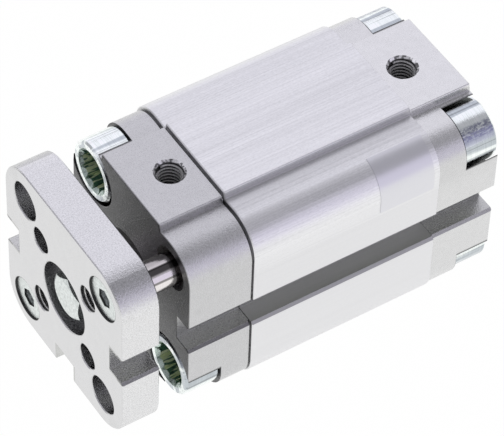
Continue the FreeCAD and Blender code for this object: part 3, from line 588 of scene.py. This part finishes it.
class CYLINDER_OT_screws(bpy.types.Operator):
    """Finish the screws of the housing, the yoke plate and the piston in bright zinc"""
    bl_idname = "cylinder.screws"
    bl_label = "Screws"

    def execute(self, context):
        colours = context.scene.cylinder_colours
        dress(collar_zinc(colours), "front_collar_screws", "rear_collar_screws")
        finish = Finish("plated_bolt")
        x, y, z = finish.axes()
        cloud = finish.noise(0.5, 3)
        # Painted shade in the hex sockets: dark just inside the mouth and in patches below it
        shade_patches = finish.noise(0.9, 1).band(0.46, 0.54) * 0.45
        hexagon = within(from_axis(y, z, GUIDE_RODS), HEXAGON)
        mouth = between(x, PLATE_FRONT - 0.85, PLATE_FRONT - 0.44)
        below = x < PLATE_FRONT - 0.44
        socket_shade = hexagon * (mouth + below * shade_patches).limited()
        inside = hexagon * (x < PLATE_FRONT - 0.5)
        dress(finish.surface(finish.scaled(colours.zinc, (cloud * 0.7 + 0.41) * darkened((socket_shade, 0.9))),
                             colours.bolt_rough, finish.bump(cloud, 0.02, 0.08), 1 - inside * 0.7),
              "yoke_bolt", "guide_rod_screws", "piston_screw")
        return {"FINISHED"}


class CYLINDER_OT_rods(bpy.types.Operator):
    """Finish the piston rod and the guide rods as ground and polished steel"""
    bl_idname = "cylinder.rods"
    bl_label = "Rods"

    def execute(self, context):
        colours = context.scene.cylinder_colours
        finish = Finish("ground_rod")
        x, y, z = finish.axes()
        rings = finish.noise((0.05, 3, 3), 2)
        # Painted reflections: dark bands where the guide rods face certain ways, and a darker
        # underside, stand in for the studio mirrored in the polished steel
        broad = toward(y, z, GUIDE_RODS, GUIDE_ROD, 64).band(0.965, 0.985)
        thin = toward(y, z, GUIDE_RODS, GUIDE_ROD, 23).band(0.994, 0.998)
        under = 1 - toward(y, z, GUIDE_RODS, GUIDE_ROD, 90).band(-0.35, 0.0)
        over = toward(y, z, GUIDE_RODS, GUIDE_ROD, 110).band(0.75, 0.95)
        painted_reflections = (broad * 0.85 + thin * 0.7 + under * 0.5 + over * 0.45).limited()
        on_guides = within(from_axis(y, z, GUIDE_RODS), GUIDE_ROD + 0.1)
        ground = finish.scaled(colours.rod, (rings * 0.2 + 0.86) * darkened((painted_reflections * on_guides, 1)))
        dress(finish.surface(ground, rings * 0.08 + colours.rod_rough,
                             finish.bump(rings, 0.004, 0.05)),
              "piston_rod", "guide_rod_upper", "guide_rod_lower")
        return {"FINISHED"}


class CYLINDER_OT_threads(bpy.types.Operator):
    """Add the thread ridges of the ports, the yoke plate and the collar screws"""
    bl_idname = "cylinder.threads"
    bl_label = "Threads"

    def execute(self, context):
        threads = context.scene.cylinder_threads
        cap, plate, zinc = [NODES[name].data.materials[0] for name in
                            ("end_cap", "yoke_plate", "rear_collar_screws")]
        up, ahead = Vector((0, 0, 1)), Vector((1, 0, 0))
        sides = (-COLLAR_SCREWS, COLLAR_SCREWS)
        ports = [(port, 0, PORT_THREAD_FOOT) for port in (REAR_PORT, FRONT_PORT)]
        yoke = [(YOKE_THREAD_FOOT, out, out) for out in (YOKE_THREADS, -YOKE_THREADS)]
        front = [(FRONT_SCREW_FOOT, out, -out) for out in sides]
        rear = [(REAR_SCREW_FOOT, y, z) for y in sides for z in sides]
        groups = [
            ("port_threads", cap, "housing", "blasted_cap", up, PORT_THREAD, ports),
            ("yoke_threads", plate, "rod_assembly", "blasted_plate", ahead, YOKE_THREAD, yoke),
            ("front_screw_threads", zinc, "housing", "zinc_steel", ahead, SCREW_THREAD, front),
            ("rear_screw_threads", zinc, "housing", "zinc_steel", ahead, SCREW_THREAD, rear)]
        for name, material, body, slot, direction, depth, feet in groups:
            bm = bmesh.new()
            for foot in feet:
                add_thread(bm, threads, Vector(foot) * MM, direction, depth)
            finished(bm, name, material, body)
        return {"FINISHED"}


class CYLINDER_OT_fittings(bpy.types.Operator):
    """Finish the seals, bushes, bumpers and the parts of the piston"""
    bl_idname = "cylinder.fittings"
    bl_label = "Fittings"

    def execute(self, context):
        colours = context.scene.cylinder_colours
        dress(grained("moulded_rubber", colours.rubber, size=0.2, detail=2, lighter=0.6, darkest=0.7,
                      rougher=0.2, smoothest=0.45, height=0.01, metal=0.0),
              "rear_cap_seal", "front_cap_seal", "rear_bumper", "front_bumper", "rod_seal",
              "piston_seal_front", "piston_seal_rear")
        # The bushes' near black colour is partly painted shade in the rod holes
        dress(grained("sintered_bronze", colours.bronze, size=0.08, detail=3, lighter=0.6, darkest=0.7,
                      rougher=0.2, smoothest=0.4, height=0.01, metal=1.0),
              "rod_bush", "guide_bush_upper", "guide_bush_lower")
        dress(grained("turned_aluminium", colours.cap, size=(0.06, 2, 2), detail=2, lighter=0.2,
                      darkest=0.88, rougher=0.1, smoothest=0.25, height=0.004, metal=1.0),
              "piston_front", "piston_rear")
        dress(grained("moulded_ring", colours.ring, size=0.3, detail=2, lighter=0.2, darkest=0.9,
                      rougher=0, smoothest=0.4, height=0.005, metal=0.0), "piston_wear_ring")
        dress(grained("bound_magnet", colours.magnet, size=0.1, detail=3, lighter=0.5, darkest=0.7,
                      rougher=0, smoothest=0.5, height=0.01, metal=0.3), "piston_magnet")
        return {"FINISHED"}


class CYLINDER_OT_label(bpy.types.Operator):
    """Finish the bare label film on the barrel"""
    bl_idname = "cylinder.label"
    bl_label = "Label Film"

    def execute(self, context):
        colours = context.scene.cylinder_colours
        dress(grained("label_film", colours.film, size=4, detail=2, lighter=0.04, darkest=0.97,
                      rougher=0.06, smoothest=colours.film_rough, height=0.01, metal=0.9), "type_label")
        return {"FINISHED"}


class CYLINDER_OT_studio(bpy.types.Operator):
    """Set up the camera, the plain floor, the room's light and four lamps"""
    bl_idname = "cylinder.studio"
    bl_label = "Studio"

    def execute(self, context):
        studio = context.scene.cylinder_studio
        context.scene.view_settings.view_transform = "Standard"
        camera = bpy.data.objects.new("camera", bpy.data.cameras.new("camera"))
        camera.data.sensor_width = 36
        camera.data.lens = studio.lens
        camera.data.clip_start = 0.01
        camera.location = studio.eye
        camera.rotation_euler = studio.turn
        context.scene.collection.objects.link(camera)
        context.scene.camera = camera
        self.lay_floor(context, studio)
        self.light_room(context, studio)
        tint = studio.room_tint
        lamps = [("panel", (-0.38, -0.52, 0.77), (1.8, 0.95), studio.panel, tint),
                 ("side", (0.75, -0.35, 0.55), (0.6, 0.6), studio.fill, tint),
                 ("low", (-0.40, 0.87, 0.29), (1.6, 0.70), studio.low, studio.low_tint),
                 ("far", (-0.40, -0.90, 0.12), (1.7, 0.70), studio.far, tint)]
        low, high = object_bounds()
        for lamp in lamps:
            self.hang_lamp(context, (low + high) / 2, *lamp)
        return {"FINISHED"}

    def lay_floor(self, context, studio):
        """A matte floor that looks evenly white to the camera and in the metal."""
        finish = Finish("floor")
        grain = finish.noise(20, 2)
        matte = finish.node("ShaderNodeBsdfDiffuse", None, {
            "Color": finish.scaled(studio.floor, grain * 0.02 + 0.99)})
        glow = finish.node("ShaderNodeEmission", None, {"Color": (1, 1, 1, 1), "Strength": 1.0})
        path = finish.node("ShaderNodeLightPath")
        camera, glossy, through = [Wire(finish, path.outputs[name]) for name in
                                   ("Is Camera Ray", "Is Glossy Ray", "Is Transmission Ray")]
        even = (camera + glossy + through).limited() * studio.floor_glow
        both = finish.node("ShaderNodeMixShader", None, {
            0: even, 1: Wire(finish, matte.outputs[0]), 2: Wire(finish, glow.outputs[0])})
        finish.node("ShaderNodeOutputMaterial", None, {"Surface": Wire(finish, both.outputs[0])})
        bm = bmesh.new()
        bmesh.ops.create_grid(bm, x_segments=4, y_segments=4, size=FLOOR_HALF)
        bmesh.ops.translate(bm, vec=(0, 0, CAD_BOX[0].z), verts=bm.verts)
        mesh = bpy.data.meshes.new("floor")
        bm.to_mesh(mesh)
        bm.free()
        mesh.materials.append(finish.material)
        floor = bpy.data.objects.new("floor", mesh)
        context.scene.collection.objects.link(floor)
        floor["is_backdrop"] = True

    def light_room(self, context, studio):
        """Even light from all sides, behind which the camera sees white."""
        world = bpy.data.worlds.new("room")
        world.use_nodes = True
        tree = world.node_tree
        tree.nodes.clear()
        path = tree.nodes.new("ShaderNodeLightPath")
        room, white = [tree.nodes.new("ShaderNodeBackground") for _ in range(2)]
        room.inputs["Color"].default_value = (*studio.room_tint, 1)
        room.inputs["Strength"].default_value = studio.room
        white.inputs["Color"].default_value = (1, 1, 1, 1)
        both = tree.nodes.new("ShaderNodeMixShader")
        out = tree.nodes.new("ShaderNodeOutputWorld")
        tree.links.new(path.outputs["Is Camera Ray"], both.inputs[0])
        tree.links.new(room.outputs[0], both.inputs[1])
        tree.links.new(white.outputs[0], both.inputs[2])
        tree.links.new(both.outputs[0], out.inputs["Surface"])
        context.scene.world = world

    def hang_lamp(self, context, aim, name, direction, sides, radiance, tint):
        """A rectangular lamp that faces its aim from this direction and looks this bright."""
        lamp = bpy.data.lights.new(name, "AREA")
        lamp.shape = "RECTANGLE"
        lamp.size, lamp.size_y = sides
        lamp.energy = radiance * math.pi * sides[0] * sides[1]
        lamp.color = tint
        holder = bpy.data.objects.new(name, lamp)
        away = Vector(direction).normalized()
        holder.location = aim + away * LAMP_DISTANCE
        holder.rotation_euler = away.to_track_quat("Z", "Y").to_euler()
        context.scene.collection.objects.link(holder)


class CYLINDER_PT_finish(bpy.types.Panel):
    """Buttons and values of the cylinder's finish"""
    bl_idname = "CYLINDER_PT_finish"
    bl_label = "Cylinder Finish"
    bl_space_type = "VIEW_3D"
    bl_region_type = "UI"
    bl_category = "Cylinder"

    def draw(self, context):
        for operator in OPERATORS:
            self.layout.operator(operator.bl_idname)
        for group in GROUPS:
            values = getattr(context.scene, group)
            column = self.layout.column(heading=group.replace("_", " ").title())
            for name in values.bl_rna.properties.keys():
                if name not in {"rna_type", "name"}:
                    column.prop(values, name)


OPERATORS = (CYLINDER_OT_barrel, CYLINDER_OT_caps, CYLINDER_OT_yoke_plate, CYLINDER_OT_screws,
             CYLINDER_OT_rods, CYLINDER_OT_threads, CYLINDER_OT_fittings, CYLINDER_OT_label,
             CYLINDER_OT_studio)
GROUPS = {"cylinder_threads": CylinderThreads, "cylinder_colours": CylinderColours,
          "cylinder_studio": CylinderStudio}


def register():
    for kind in (*GROUPS.values(), *OPERATORS, CYLINDER_PT_finish):
        bpy.utils.register_class(kind)
    for name, group in GROUPS.items():
        setattr(bpy.types.Scene, name, PointerProperty(type=group))


def unregister():
    for name in GROUPS:
        delattr(bpy.types.Scene, name)
    for kind in (CYLINDER_PT_finish, *reversed(OPERATORS), *reversed(GROUPS.values())):
        bpy.utils.unregister_class(kind)


def main():
    register()
    for operator in OPERATORS:
        family, name = operator.bl_idname.split(".")
        getattr(getattr(bpy.ops, family), name)()
    bpy.context.view_layer.update()


if __name__ == "__main__":
    main()
